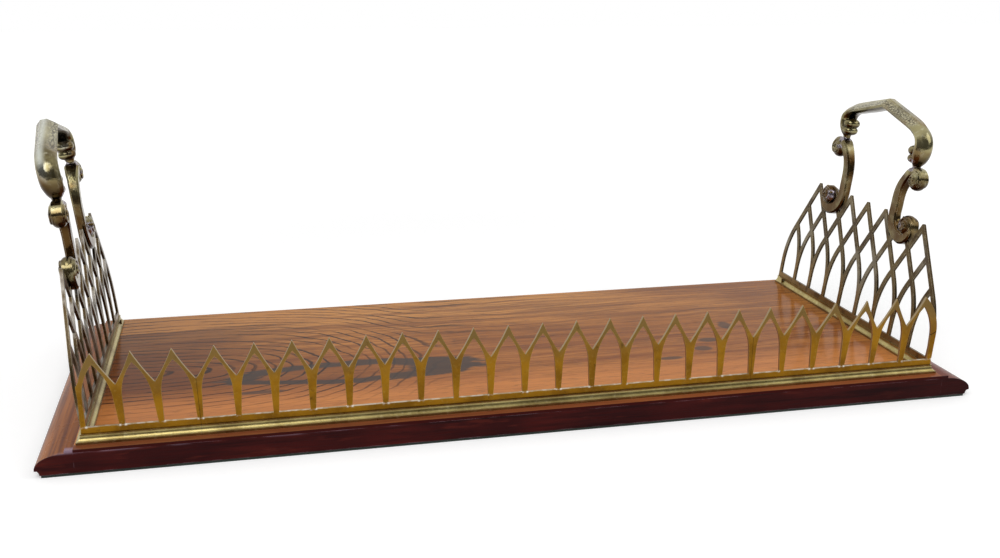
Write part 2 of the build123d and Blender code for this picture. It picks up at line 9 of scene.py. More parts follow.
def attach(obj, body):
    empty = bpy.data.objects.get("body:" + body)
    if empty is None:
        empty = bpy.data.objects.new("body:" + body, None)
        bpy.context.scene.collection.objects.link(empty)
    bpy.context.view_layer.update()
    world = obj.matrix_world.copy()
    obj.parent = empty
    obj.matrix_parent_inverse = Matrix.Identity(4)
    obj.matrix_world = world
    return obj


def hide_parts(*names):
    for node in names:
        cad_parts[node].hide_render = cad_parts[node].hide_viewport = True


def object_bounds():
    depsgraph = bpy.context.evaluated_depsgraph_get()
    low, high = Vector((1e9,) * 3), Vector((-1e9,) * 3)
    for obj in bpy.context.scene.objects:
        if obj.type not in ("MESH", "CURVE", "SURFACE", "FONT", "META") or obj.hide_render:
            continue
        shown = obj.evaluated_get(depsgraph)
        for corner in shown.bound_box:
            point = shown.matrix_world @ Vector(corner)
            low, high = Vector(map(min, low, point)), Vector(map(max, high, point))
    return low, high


# Looks of the book tray: rosewood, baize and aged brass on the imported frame, with fuller handles.
# Metres, +X along the length, +Y to the open back, +Z up. Handle sizes are in millimetres.

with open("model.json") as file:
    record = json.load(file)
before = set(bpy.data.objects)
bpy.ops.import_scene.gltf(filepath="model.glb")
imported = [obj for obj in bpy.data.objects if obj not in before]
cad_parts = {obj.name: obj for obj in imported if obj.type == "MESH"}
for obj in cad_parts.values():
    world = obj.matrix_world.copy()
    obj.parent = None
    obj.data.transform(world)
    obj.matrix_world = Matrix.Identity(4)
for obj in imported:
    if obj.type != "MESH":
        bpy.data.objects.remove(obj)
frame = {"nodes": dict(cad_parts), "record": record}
cad_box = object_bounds()

# Camera: pixels for the focal length, radians for the angles
image_width = 1000
sensor_width = 36.0
focal_pixels = 1120.24
camera_pitch = 0.28722
camera_roll = -0.0082
camera_yaw = 0.23002
camera_place = Vector((-0.15182, -0.641, 0.25238))

# Sky, of which the room in front of the tray is dark in reflections
sky_strength = 0.62
dark_side_strength = 0.13
sky_height_weight = 0.9
sky_full_at = 0.95

# Lamps
lamp_target = (0.0, 0.0, 0.05)
key_place = (-0.5, -0.9, 1.3)
key_size = 0.9
key_power = 9.0
fill_place = (1.1, -0.5, 0.9)
fill_size = 0.8
fill_power = 3.0

# Floor, whose glow grows with the distance from the tray
floor_reach = 3.0
floor_growth = (0.35, 0.9)
near_floor_glow = 0.28
far_floor_glow = 0.50

# Board and galleries. The fillet is the edge of the flat top, and the end moulding's joint lies
# inside it.
board_front = cad_box[0][1]
board_back = cad_box[1][1]
fillet_x = 0.2451
joint_inset = 0.0040
joint_blend = 0.0006
bead_top = 0.0186
rail_height = 0.0033
first_post = -0.2361
post_pitch = 0.018888
post_half = 0.0014

# How far in from the board's front and back a face still counts as square on: fully, and not at all
skin_start = 0.0001
skin_end = 0.0006

# Joints of the front gallery: place along the length, and how far each leans for its height. Their
# dark line starts at the first distance and is full at the second, and the wear with its painted
# highlight is the other way.
seams = ((-0.179436, -0.03935), (0.122772, 0.0))
sheet_seam_line = (0.00018, 0.00006)
bead_seam_line = (0.00020, 0.00006)
seam_free_of_wear_highlight = (0.0004, 0.0012)

# Mended break across the right corner post: place along and up, slope and half width
mend_place = (0.238, 0.0385)
mend_slope = 0.5
mend_half = 0.0005

# Glints on the rail: reach up and down beside a post, the same between posts, and the share of a
# pitch that they take beside a post
glint_height = 0.0009
glint_line_height = 0.0003
glint_width = 0.060

# Growth rings of the rosewood: arcs that open to the left end, and straight lines beyond them
ring_spacing = 0.0056
ring_middle = -0.004
arcs_end = -0.26
arcs_length = 0.20
arcs_reach = 0.082
arcs_widest = 0.090
arcs_blend = 0.02

# Dark patch of sapwood with a paler inside, and the flecks near it: middle and reach of each
patch_outside = ((-0.088, -0.0235), (0.084, 0.0185))
patch_inside = ((-0.103, -0.0235), (0.046, 0.0105))
flecks = (
    ((0.154, 0.010), (0.006, 0.009)),
    ((0.132, -0.014), (0.010, 0.005)),
    ((0.122, -0.028), (0.007, 0.005)),
    ((0.096, -0.041), (0.009, 0.003)),
    ((-0.166, -0.025), (0.014, 0.002)),
    ((-0.150, -0.045), (0.020, 0.003)),
)

# Where colours change by place: on each axis a zone starts at the first bound and is full at the
# second
zones = {
    "growth lines": {"y": (-0.075, -0.045)},
    "bright back": {"x": (0.16, 0.05), "y": (0.030, 0.085)},
    "middle from the back": {"y": (0.045, -0.02)},
    "middle from the front": {"y": (-0.085, -0.045)},
    "bright front": {"y": (-0.030, -0.068)},
    # Painted shade beside the left end gallery
    "painted shade left": {"x": (-0.08, -0.20), "y": (-0.050, -0.015)},
    "pale left": {"x": (-0.06, -0.14)},
    "red strip": {"y": (-0.0955, -0.0975)},
    "lighter strip": {"x": (-0.12, 0.16)},
    "right moulding": {"x": (0.0, 0.01)},
    "dark right edge": {"x": (0.05, 0.24)},
    "light moulding": {"z": (0.0035, 0.0085)},
    # Front's upper arris at the left, pale from wear and a painted highlight
    "worn highlit arris": {"x": (-0.05, -0.17), "y": (-0.0975, -0.1005), "z": (0.0112, 0.0134)},
    "mended post": {"x": (0.2345, 0.2355)},
    "front bead": {"y": (-0.088, -0.090)},
    "lattice foot": {"z": (0.048, 0.030)},
    # Painted glints on the left lattice
    "glinting lattice": {"x": (-0.20, -0.23)},
}

# Bounds that wander: of the pale strip along the back, in y, and of the olive tips, in z
pale_strip = (0.0715, 0.0735)
olive_tips = (0.044, 0.066)

# Paint on the handles: up from the ends' feet, and along from their middle
darker_below = (0.106, 0.100)
darker_shoulder = (0.115, 0.012)
solder_patches = (
    ((0.0408, 0.0722), (0.0042, 0.0048)),
    ((0.0413, 0.1062), (0.0030, 0.0018)),
    ((0.0413, 0.1112), (0.0030, 0.0018)),
)

# Highlight along the left grip, which follows its lean
highlight_lean = 0.19
highlight_middle = -0.2275
highlight_reach = 0.0036
highlight_above = (0.116, 0.128)

# Engraved facet under the grips' ridge, which falls to both sides
ridge_level = 0.1435
ridge_fall = 0.260
facet_middle = -0.0020
facet_reach = 0.0026
facet_until = (0.038, 0.032)

# Reach of the wear and painted highlight along arrises
wood_arris = 0.0006
brass_arris = 0.00040

# Ends and handles, in millimetres and degrees
millimetre = 0.001
sides = {"left": -1, "right": 1}
ends = {"front": -1, "back": 1}
leans = {"left": 5.5, "right": 7.0}
end_foot = (236.75, 2.55, 18.6)
peak_along = 41.8
peak_up = 78.0
sharp_angle = 26.0

# How the soldered handles have settled: the lean grows or falls towards the back, the left grip
# tips out above its necks, and each upper volute has moved up or down
twists = {"left": 0.7, "right": -0.35}
grip_tips = {"left": 5.5, "right": 0.0}
grip_tip_up = 110.0
grip_tip_blend = 6.0
volute_shifts = {"front": -3.2, "back": 1.8}

# Volute: a round boss with a raised spiral on each face
upper_volute = (4.2, 25.8)
lower_volute = (4.9, -5.9)
volute_radius = 6.6
volute_half_depth = 4.4
spiral_steps = 44
spiral_corners = 8
spiral_turn = 520.0
spiral_outer = 5.3
spiral_inner = 1.0
spiral_thin = 0.5625
spiral_thick = 0.825

# Domes, for the volutes and the buds: the power of their outline, the tilt of the last ring, and
# counts
dome_power = 2.3
dome_tilt = 86.0
dome_points = 32
dome_levels = 14

# Scroll, from where the edges of its peak meet: along and up, half thickness and half depth. A turn
# of the upper volute gives angle, radius and half thickness. The bow grows thicker and less deep
# towards the upright.
upper_turns = ((-45, 4.6, 1.75), (10, 4.8, 1.8), (60, 4.9, 1.9), (100, 5.3, 2.1), (124, 5.75, 2.6))
bow_centre = (13.1, 10.1)
bow_radius = 24.2
bow_angles = (128, 180)
bow_places = 5
bow_half = 2.7
bow_depth = 4.0
bow_flattening = 0.6
hook_centre = (1.4, -1.9)
hook_radius = 12.5
hook_angles = (180, 210, 240, 268)
hook_deepening = 0.008
upright_middle = (hook_centre[0] - hook_radius, 4.1)
upright_half = 3.8
upright_depth = 2.5
volute_depth = 3.2
lower_turns = (
    (5.2, -13.8, 3.1, 3.3), (8.6, -11.2, 2.6, 3.4), (10.0, -7.6, 2.1, 3.3), (9.2, -3.6, 1.8, 3.2),
    (6.2, -1.2, 1.7, 3.2),
)
lower_exit_angle = -30
scroll_steps = 7
chamfer_share = 0.36

# Grip: outer and inner edge at each station, along and up, and the share of its full depth
grip_stations = {
    "front": (
        ((0.0, 144.7), (0.0, 137.9), 1.0),
        ((16.7, 140.2), (15.2, 133.5), 1.0),
        ((33.0, 135.6), (31.2, 129.0), 1.0),
        ((39.2, 132.8), (35.4, 126.9), 1.0),
        ((44.4, 129.2), (38.3, 124.2), 1.0),
        ((47.6, 124.8), (39.3, 121.2), 1.0),
        ((48.8, 119.8), (38.9, 118.0), 1.0),
        ((48.2, 115.0), (38.4, 114.4), 0.94),
        ((46.4, 111.2), (38.4, 110.8), 0.74),
        ((44.3, 108.8), (39.0, 108.6), 0.46),
        ((43.9, 107.2), (39.2, 107.2), 0.42),
    ),
    "back": (
        ((0.0, 144.7), (0.0, 137.9), 1.0),
        ((16.7, 141.0), (15.2, 134.0), 1.0),
        ((33.0, 137.2), (31.2, 130.6), 1.0),
        ((38.8, 134.9), (35.4, 129.2), 1.0),
        ((43.4, 131.8), (38.1, 127.2), 1.0),
        ((46.4, 128.2), (39.2, 125.0), 1.0),
        ((47.5, 124.2), (38.8, 122.4), 0.98),
        ((47.0, 119.8), (38.3, 119.2), 0.90),
        ((45.6, 116.4), (38.3, 116.0), 0.68),
        ((43.9, 114.2), (38.9, 114.0), 0.45),
        ((43.7, 112.4), (38.9, 112.4), 0.42),
    ),
}
grip_steps = 4
# Section of the grip's bar: outward, and down from the outer edge to the inner one as a share. It
# turns round between the two places along the grip.
grip_half_depth = 5.75
bevelled_until = 34.0
round_from = 45.0
grip_section = (
    (2.5, 0.0), (-0.8, 0.0), (-4.5, 0.42), (-5.75, 0.62), (-5.2, 0.84), (-2.8, 1.0),
    (2.8, 1.0), (5.2, 0.82), (5.75, 0.56), (5.2, 0.34),
)
# Lobes of the bud inside each shoulder: middle along and above the neck, reaches, and half depth
bud_lobes = (((38.4, 10.4), (4.6, 3.5), 5.3), ((38.8, 5.6), (4.2, 3.2), 5.0))


def srgb(red, green, blue):
    """The linear colour of 0 to 255 display values."""
    values = [channel / 255 for channel in (red, green, blue)]
    return tuple(v / 12.92 if v <= 0.04045 else ((v + 0.055) / 1.055) ** 2.4 for v in values) + (1.0,)


def clamped(value):
    """A value kept between 0 and 1."""
    return min(max(value, 0), 1)


class Nodes:
    """A node tree, with short calls for the nodes that the materials and the sky share."""

    def __init__(self, tree):
        self.tree = tree

    def node(self, kind, inputs=None, **settings):
        """Adds a node, sets its options, and sets or links its inputs."""
        made = self.tree.nodes.new(kind)
        for key, value in settings.items():
            setattr(made, key, value)
        for key, value in (inputs or {}).items():
            self.feed(made.inputs[key], value)
        return made

    def feed(self, socket, value):
        """Links a socket to another one, or sets it to a plain value."""
        if isinstance(value, bpy.types.NodeSocket):
            self.tree.links.new(value, socket)
        else:
            socket.default_value = value

    def math(self, operation, first, second=0.0, clamp=False):
        """The result of an operation on two values."""
        values = {0: first, 1: second}
        return self.node("ShaderNodeMath", values, operation=operation, use_clamp=clamp).outputs[0]

    def times(self, *values):
        """The product of several values."""
        product = values[0]
        for value in values[1:]:
            product = self.math("MULTIPLY", product, value)
        return product

    def plus(self, first, second):
        """The sum of two values."""
        return self.math("ADD", first, second)

    def less(self, first, second):
        """The first value less the second."""
        return self.math("SUBTRACT", first, second)

    def larger(self, first, second):
        """The larger of two values."""
        return self.math("MAXIMUM", first, second)

    def split(self, vector):
        """The three values of a vector."""
        return self.node("ShaderNodeSeparateXYZ", {0: vector}).outputs

    def band(self, value, low, high, first=0.0, last=1.0):
        """The first of two results at low and the last at high, with a smooth step between."""
        values = {"Value": value, "From Min": low, "From Max": high, "To Min": first, "To Max": last}
        return self.node("ShaderNodeMapRange", values, interpolation_type="SMOOTHSTEP").outputs[0]

    def seen_rays(self):
        """1 for rays that show the background: straight from the camera, mirrored or through."""
        rays = self.node("ShaderNodeLightPath").outputs
        bent = self.larger(rays["Is Glossy Ray"], rays["Is Transmission Ray"])
        return self.larger(rays["Is Camera Ray"], bent)


class Shader(Nodes):
    """A material, painted colour over colour by shares that depend on place, noise, wear, and painted light
    and shade.
    """

    def __init__(self, name):
        self.material = bpy.data.materials.new(name)
        self.material.use_nodes = True
        super().__init__(self.material.node_tree)
        self.surface = self.tree.nodes["Principled BSDF"]
        self.place = self.node("ShaderNodeTexCoord").outputs["Object"]
        self.x, self.y, self.z = self.split(self.place)

    def join(self, x, y):
        """A vector of two values."""
        return self.node("ShaderNodeCombineXYZ", {0: x, 1: y}).outputs[0]

    def stretch(self, scale):
        """The place multiplied axis by axis."""
        values = {0: self.place, 1: scale}
        return self.node("ShaderNodeVectorMath", values, operation="MULTIPLY").outputs[0]

    def noise(self, vector, scale=1.0, detail=3.0, roughness=0.5):
        """Cloudy noise from 0 to 1."""
        values = {"Vector": vector, "Scale": scale, "Detail": detail, "Roughness": roughness}
        return self.node("ShaderNodeTexNoise", values).outputs["Fac"]

    def near(self, value, middle, reach):
        """1 where a value is at the middle, falling to 0 at the reach."""
        return self.band(self.math("ABSOLUTE", self.less(value, middle)), reach, 0.0)

    def zone(self, name):
        """1 inside a named zone, falling to 0 at its first bounds."""
        return self.times(*(self.band(getattr(self, axis), *bounds) for axis, bounds in zones[name].items()))

    def ellipse(self, x, y, middle, reach):
        """1 at the middle of an ellipse, falling to 0 at its edge and below 0 beyond."""
        across = self.math("DIVIDE", self.less(x, middle[0]), reach[0])
        along = self.math("DIVIDE", self.less(y, middle[1]), reach[1])
        square = self.plus(self.times(across, across), self.times(along, along))
        return self.less(1.0, self.math("SQRT", square))

    def mix(self, share, first, second):
        """The first colour at a share of 0 and the second at 1."""
        made = self.node("ShaderNodeMix", data_type="RGBA")
        self.feed(made.inputs[0], share)
        self.feed(made.inputs[6], first)
        self.feed(made.inputs[7], second)
        return made.outputs[2]

    def paint(self, share, colour):
        """Lays a colour over the base colour by the share given."""
        self.base = self.mix(share, self.base, colour)
        self.feed(self.surface.inputs["Base Color"], self.base)

    def facing(self, axis):
        """How squarely the surface faces along an axis, either way."""
        normal = self.node("ShaderNodeNewGeometry").outputs["True Normal"]
        return self.math("ABSOLUTE", self.split(normal)[axis])

    def edges(self, radius):
        """How sharply the surface bends near a point: 0 on flats and towards 1 on arrises."""
        bevel = self.node("ShaderNodeBevel", {"Radius": radius}, samples=4).outputs[0]
        normal = self.node("ShaderNodeNewGeometry").outputs["Normal"]
        dot = self.node("ShaderNodeVectorMath", {0: bevel, 1: normal}, operation="DOT_PRODUCT")
        return self.math("SUBTRACT", 1.0, dot.outputs["Value"], clamp=True)

    def worn_highlight(self):
        """How far an arris of brass is worn and painted with a highlight."""
        return self.band(self.edges(brass_arris), 0.03, 0.30)

    def recess(self, distance):
        """How enclosed a point is: 1 in corners and hollows."""
        hidden = self.node("ShaderNodeAmbientOcclusion", {"Distance": distance}, samples=6)
        return self.math("SUBTRACT", 1.0, hidden.outputs["AO"], clamp=True)

    def bump(self, height, distance):
        """Raises and sinks the surface by a height, of which 1 is the distance given."""
        values = {"Height": height, "Distance": distance, "Strength": 1.0}
        self.feed(self.surface.inputs["Normal"], self.node("ShaderNodeBump", values).outputs[0])

    def set(self, **values):
        """Sets or links the surface's own sockets, whose names are written with underscores."""
        for key, value in values.items():
            self.feed(self.surface.inputs[key.replace("_", " ")], value)


def growth_level(s, drift):
    """The rings' height field, whose equal levels are the growth lines."""
    share = s.math("DIVIDE", s.less(s.x, arcs_end), arcs_length)
    across = s.times(share, share, arcs_reach)
    values = {0: across, 1: arcs_widest, 2: arcs_blend}
    across = s.node("ShaderNodeMath", values, operation="SMOOTH_MIN").outputs[0]
    along = s.less(s.y, ring_middle)
    return s.plus(s.math("SQRT", s.plus(s.times(across, across), s.times(along, along))), drift)


def growth_lines(s, drift):
    """Broken dark lines, strongest in the figured left part."""
    level = growth_level(s, drift)
    wave = s.math("SINE", s.times(level, 2 * math.pi / ring_spacing))
    broken = s.noise(s.join(s.times(s.x, 24.0), s.times(level, 160.0)), detail=4.0, roughness=0.6)
    lines = s.times(s.band(wave, 0.66, 0.97), s.band(broken, 0.36, 0.54))
    figured = s.band(s.plus(s.x, s.times(s.y, -0.6)), 0.02, -0.10)
    return s.times(lines, s.plus(0.18, s.times(figured, 0.74)), s.zone("growth lines"))


def dark_patch(s):
    """The ragged patch of sapwood, paler inside, with the flecks near it."""
    ragged = s.less(s.noise(s.stretch((26.0, 95.0, 1.0)), detail=5.0, roughness=0.6), 0.5)
    ragged = s.times(ragged, 0.9)
    whole = s.plus(s.ellipse(s.x, s.y, *patch_outside), ragged)
    inside = s.plus(s.ellipse(s.x, s.y, *patch_inside), ragged)
    stain = s.times(s.band(whole, 0.0, 0.10), s.less(1.0, s.times(s.band(inside, -0.05, 0.12), 0.85)))
    for middle, reach in flecks:
        fleck = s.plus(s.ellipse(s.x, s.y, middle, reach), ragged)
        stain = s.larger(stain, s.times(s.band(fleck, 0.0, 0.4), 0.8))
    return stain


def rosewood_top():
    """Polished rosewood: dark growth lines, streaks, pores, the dark sapwood patch, and painted shade on the
    left.
    """
    s = Shader("rosewood_top")
    wander = s.less(s.noise(s.stretch((9.0, 22.0, 1.0)), detail=2.0), 0.5)
    ripple = s.less(s.noise(s.stretch((70.0, 110.0, 1.0)), detail=3.0), 0.5)
    drift = s.plus(s.times(wander, 0.012), s.times(ripple, 0.0026))
    fibre = s.plus(s.y, drift)
    streaks = s.noise(s.join(s.times(s.x, 12.0), s.times(fibre, 620.0)), detail=6.0, roughness=0.72)
    wide_streaks = s.noise(s.join(s.times(s.x, 6.0), s.times(fibre, 120.0)), detail=4.0, roughness=0.6)
    pores = s.band(s.noise(s.join(s.times(s.x, 90.0), s.times(s.y, 1500.0)), detail=2.0), 0.58, 0.70)
    cloud = s.noise(s.stretch((7.0, 13.0, 1.0)), detail=3.0)
    s.base = s.mix(s.band(cloud, 0.35, 0.65), srgb(164, 102, 46), srgb(194, 128, 62))
    s.paint(s.times(s.zone("bright back"), 0.55), srgb(220, 156, 84))
    s.paint(s.times(s.band(wide_streaks, 0.42, 0.64), 0.60), srgb(118, 66, 34))
    s.paint(s.times(s.band(streaks, 0.44, 0.66), 0.75), srgb(88, 46, 26))
    middle = s.times(s.zone("middle from the back"), s.zone("middle from the front"))
    s.paint(s.times(middle, 0.34), srgb(136, 72, 40))
    s.paint(s.times(s.zone("bright front"), 0.54), srgb(232, 150, 84))
    # Painted shade on the left of the top, near the end gallery
    s.paint(s.times(s.zone("painted shade left"), 0.62), srgb(92, 50, 28))
    pale = s.band(s.plus(s.y, s.times(drift, 1.5)), *pale_strip)
    s.paint(s.times(pale, s.zone("pale left"), 0.60), srgb(206, 140, 72))
    s.paint(growth_lines(s, drift), srgb(44, 26, 18))
    s.paint(s.times(pores, 0.55), srgb(46, 24, 16))
    s.paint(s.times(dark_patch(s), 0.90), s.mix(streaks, srgb(52, 46, 44), srgb(76, 66, 60)))
    red = s.mix(s.zone("lighter strip"), srgb(92, 40, 30), srgb(124, 62, 38))
    s.paint(s.times(s.zone("red strip"), s.plus(0.6, s.times(streaks, 0.4))), red)
    s.paint(s.band(s.y, board_front + skin_end, board_front + skin_start), srgb(56, 14, 13))
    s.set(Roughness=s.plus(0.08, s.times(streaks, 0.08)), Specular_IOR_Level=0.035)
    s.bump(s.plus(streaks, s.times(pores, -0.6)), 0.00003)
    return s.material


def rosewood_edge():
    """Dark red polished rosewood, orange-brown on the mouldings' upper faces, with arrises paled by wear and
    a painted highlight.
    """
    s = Shader("rosewood_edge")
    grain = s.noise(s.stretch((18.0, 26.0, 330.0)), detail=5.0, roughness=0.65)
    end_lines = s.noise(s.stretch((40.0, 5.0, 300.0)), detail=3.0)
    s.base = s.mix(s.band(s.noise(s.place, 16.0, 3.0), 0.3, 0.7), srgb(46, 10, 11), srgb(74, 21, 18))
    s.paint(s.times(s.band(grain, 0.40, 0.70), 0.75), srgb(26, 6, 8))
    s.paint(s.times(s.band(end_lines, 0.58, 0.72), 0.35), srgb(98, 36, 26))
    length_grain = s.noise(s.stretch((380.0, 9.0, 60.0)), detail=4.0, roughness=0.6)
    light = s.mix(s.band(length_grain, 0.35, 0.7), srgb(158, 92, 34), srgb(96, 46, 20))
    light = s.mix(s.zone("right moulding"), light, srgb(112, 50, 30))
    s.paint(s.times(s.zone("dark right edge"), 0.55), srgb(24, 5, 7))
    behind_front = s.band(s.y, board_front + skin_start, board_front + skin_end)
    before_back = s.band(s.y, board_back - skin_start, board_back - skin_end)
    joint = fillet_x - joint_inset
    outside = s.band(s.math("ABSOLUTE", s.x), joint - joint_blend, joint)
    s.paint(s.times(behind_front, before_back, outside, s.zone("light moulding")), light)
    # Arrises pale lilac from wear and a painted highlight
    worn_highlight = s.times(s.edges(wood_arris), s.band(s.noise(s.place, 120.0, 4.0), 0.42, 0.66), 1.8)
    s.paint(s.math("MINIMUM", worn_highlight, 1.0), srgb(150, 118, 128))
    # Patchy pale lilac on the front's upper arris at the left: wear with a painted highlight
    patchy = s.band(s.noise(s.stretch((40.0, 160.0, 160.0)), detail=4.0), 0.40, 0.60)
    s.paint(s.times(s.zone("worn highlit arris"), patchy, 0.7), srgb(156, 132, 150))
    s.set(Roughness=s.plus(0.20, s.times(grain, 0.15)), Specular_IOR_Level=0.06)
    s.bump(s.plus(grain, end_lines), 0.00008)
    return s.material


def core_wood():
    """Plain sawn softwood, seen only where the lining is lifted."""
    s = Shader("core_wood")
    grain = s.noise(s.stretch((6.0, 160.0, 160.0)), detail=4.0)
    s.set(Base_Color=s.mix(grain, srgb(178, 128, 84), srgb(118, 76, 48)), Roughness=0.7)
    s.bump(grain, 0.0001)
    return s.material


def baize():
    """Worn dark green cloth with a short nap."""
    s = Shader("baize")
    nap = s.noise(s.place, 2600.0, 4.0, 0.7)
    s.base = s.mix(s.band(s.noise(s.place, 22.0, 4.0), 0.35, 0.7), srgb(16, 30, 24), srgb(34, 46, 38))
    s.paint(s.times(nap, 0.4), srgb(58, 70, 60))
    s.set(Roughness=0.95, Sheen_Weight=0.4)
    s.bump(nap, 0.0003)
    return s.material


def brass(name, colours, roughness, scale, recess_depth):
    """Aged, cloudy brass from its bright, plain and dark colours and the one of its hollows."""
    bright, plain, dark, hollow = colours
    s = Shader(name)
    cloud = s.noise(s.place, scale, 5.0, 0.6)
    fine = s.noise(s.place, scale * 9, 4.0, 0.65)
    s.base = s.mix(s.band(cloud, 0.35, 0.68), plain, dark)
    s.paint(s.times(s.band(fine, 0.5, 0.8), 0.40), bright)
    s.paint(s.band(s.recess(recess_depth), 0.35, 0.95), hollow)
    s.set(Metallic=1.0, Roughness=s.plus(roughness, s.times(fine, 0.22)))
    s.bump(s.plus(fine, cloud), 0.00007)
    return s


def pin_brass():
    """Plain brass of the pins, rivets and screws."""
    colours = (srgb(210, 190, 130), srgb(150, 128, 76), srgb(100, 80, 42), srgb(40, 28, 14))
    return brass("pin_brass", colours, 0.3, 90.0, 0.002).material


def seam_distance(s):
    """How far a point lies from the nearer joint between two lengths of the front gallery."""
    distances = []
    for middle, slope in seams:
        line = s.plus(middle, s.times(s.less(s.z, bead_top), slope))
        distances.append(s.math("ABSOLUTE", s.less(s.x, line)))
    return s.math("MINIMUM", *distances)


def rail_glints(s):
    """Glints along the rail's upper arris, strongest beside the posts."""
    rail_top = bead_top + rail_height
    phase = s.math("FRACT", s.math("DIVIDE", s.less(s.x, first_post - post_pitch / 2), post_pitch))
    beside_post = s.near(s.math("ABSOLUTE", s.less(phase, 0.5)), post_half / post_pitch, glint_width)
    corners = s.times(beside_post, s.near(s.z, rail_top, glint_height))
    return s.larger(corners, s.times(s.near(s.z, rail_top, glint_line_height), 0.35))


def mended_break(s):
    """A thin sloping line across the right corner post."""
    line = s.plus(mend_place[1], s.times(s.less(s.x, mend_place[0]), mend_slope))
    return s.times(s.near(s.less(s.z, line), 0.0, mend_half), s.zone("mended post"))


def gallery_brass():
    """Flat golden sheet, olive towards the tips, with sawn sides pale as a painted reflection, glints and
    dark joints.
    """
    colours = (srgb(184, 152, 78), srgb(152, 108, 26), srgb(122, 84, 22), srgb(54, 32, 8))
    s = brass("gallery_brass", colours, 0.34, 60.0, 0.002)
    tips = s.band(s.plus(s.z, s.times(s.noise(s.place, 70.0, 3.0), 0.016)), *olive_tips)
    s.paint(s.times(tips, 0.80), srgb(118, 98, 60))
    spots = s.band(s.noise(s.place, 190.0, 4.0, 0.65), 0.60, 0.72)
    s.paint(s.times(spots, 0.55), srgb(70, 46, 22))
    # Sawn sides, which face across the sheet, painted pale as a reflection
    sawn_sides_reflection = s.band(s.facing(1), 0.5, 0.25)
    s.paint(s.times(sawn_sides_reflection, 0.60), srgb(176, 160, 132))
    seam = seam_distance(s)
    # Arrises pale from wear and a painted highlight, except at the joints
    s.paint(s.times(s.worn_highlight(), s.band(seam, *seam_free_of_wear_highlight), 0.6), srgb(196, 168, 104))
    patchy = s.band(s.noise(s.place, 260.0, 2.0), 0.42, 0.58)
    s.paint(s.times(rail_glints(s), patchy), srgb(240, 236, 226))
    s.paint(s.times(s.band(seam, *sheet_seam_line), 0.8), srgb(40, 26, 10))
    s.paint(mended_break(s), srgb(40, 30, 20))
    return s.material


def bead_brass():
    """Drawn bead, paler and greyer than the sheet, with wear and a painted highlight along it and dark
    joints.
    """
    colours = (srgb(226, 216, 172), srgb(178, 162, 106), srgb(136, 118, 72), srgb(46, 34, 16))
    s = brass("bead_brass", colours, 0.20, 50.0, 0.003)
    drawn = s.noise(s.stretch((9.0, 700.0, 700.0)), detail=3.0)
    s.paint(s.times(s.band(drawn, 0.50, 0.70), 0.28), srgb(96, 78, 38))
    # Arrises pale from wear and a painted highlight
    s.paint(s.times(s.worn_highlight(), 0.6), srgb(222, 214, 176))
    seam = s.band(seam_distance(s), *bead_seam_line)
    s.paint(s.times(seam, s.zone("front bead"), 0.5), srgb(40, 28, 14))
    return s.material


def lattice_brass():
    """Olive bronze sheet with grey rubbed places, cut sides darkened as painted shade, arrises pale from
    wear and a painted highlight, and painted glints at the left end.
    """
    colours = (srgb(180, 168, 132), srgb(100, 84, 54), srgb(64, 50, 30), srgb(34, 24, 14))
    s = brass("lattice_brass", colours, 0.26, 60.0, 0.004)
    s.paint(s.times(s.band(s.noise(s.place, 34.0, 4.0), 0.50, 0.66), 0.55), srgb(146, 138, 120))
    s.paint(s.times(s.zone("lattice foot"), 0.5), srgb(140, 102, 40))
    # Painted shade on the cut sides, which face across the sheet
    s.paint(s.times(s.band(s.facing(0), 0.6, 0.3), 0.75), srgb(66, 54, 38))
    s.paint(s.times(s.band(s.noise(s.place, 150.0, 3.0), 0.54, 0.66), 0.55), srgb(56, 38, 20))
    # Painted glints at the left end
    painted_glints = s.times(s.zone("glinting lattice"), s.band(s.noise(s.place, 60.0, 3.0), 0.50, 0.64))
    s.paint(s.times(painted_glints, 0.45), srgb(180, 176, 170))
    # Arrises pale from wear and a painted highlight
    s.paint(s.times(s.worn_highlight(), 0.65), srgb(204, 194, 162))
    return s.material


def solder(s, along, level):
    """Ragged grey patches in the hooks and at the necks."""
    rough = s.times(s.less(s.noise(s.place, 420.0, 3.0), 0.5), 1.1)
    share = 0.0
    for middle, reach in solder_patches:
        patch = s.band(s.plus(s.ellipse(along, level, middle, reach), rough), 0.0, 0.35)
        share = s.larger(share, patch)
    return share


def engraved_facet(s, along, level):
    """The bevel under a grip's ridge, on its straight parts."""
    ridge = s.less(ridge_level, s.times(along, ridge_fall))
    return s.times(s.near(s.less(level, ridge), facet_middle, facet_reach), s.band(along, *facet_until))


